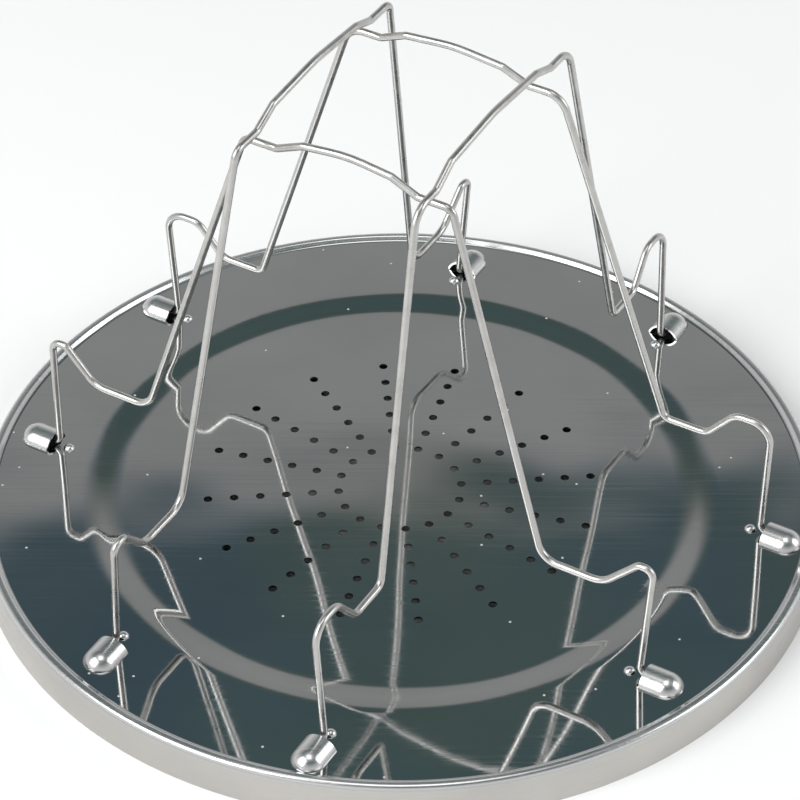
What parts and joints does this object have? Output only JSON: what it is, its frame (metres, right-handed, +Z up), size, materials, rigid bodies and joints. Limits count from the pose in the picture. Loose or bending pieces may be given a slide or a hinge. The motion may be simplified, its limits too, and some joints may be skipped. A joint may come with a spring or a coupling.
{
  "type": "folding toast rack",
  "caption": "Round pressed steel plate with pierced centre and hinged bent wires that prop slices of bread upright and fold flat.",
  "frame": {"origin": "on the table under the centre of the plate", "axes": "+Z up; -Y is the front, where a slice faces out; +X is the right-hand side"},
  "size_m": [0.2326, 0.2326, 0.1455],
  "materials": {
    "plate_steel": "mirror polished",
    "wire_steel": "bright drawn wire"
  },
  "bodies": {
    "base": {"base_plate": "plate_steel"},
    "front_wire": {"front_wire": "wire_steel"},
    "right_wire": {"right_wire": "wire_steel"},
    "rear_wire": {"rear_wire": "wire_steel"},
    "left_wire": {"left_wire": "wire_steel"}
  },
  "joints": [
    {"name": "left_fold", "type": "hinge", "parent": "base", "child": "left_wire", "pos_m": [-0.0327, 0, 0.0109], "axis": [0, 1, 0], "range_deg": [0, 84.8]},
    {"name": "front_fold", "type": "hinge", "parent": "base", "child": "front_wire", "pos_m": [0, -0.0327, 0.0109], "axis": [-1, 0, 0], "range_deg": [0, 79.99]},
    {"name": "right_fold", "type": "hinge", "parent": "base", "child": "right_wire", "pos_m": [0.0327, 0, 0.0109], "axis": [0, -1, 0], "range_deg": [0, 81.7]},
    {"name": "rear_fold", "type": "hinge", "parent": "base", "child": "rear_wire", "pos_m": [0, 0.0327, 0.0109], "axis": [1, 0, 0], "range_deg": [0, 76.24]}
  ],
  "couplings": [
    {"joint": "front_fold", "follows": "left_fold", "ratio": 0.9433},
    {"joint": "right_fold", "follows": "left_fold", "ratio": 0.9634},
    {"joint": "rear_fold", "follows": "left_fold", "ratio": 0.8991}
  ]
}
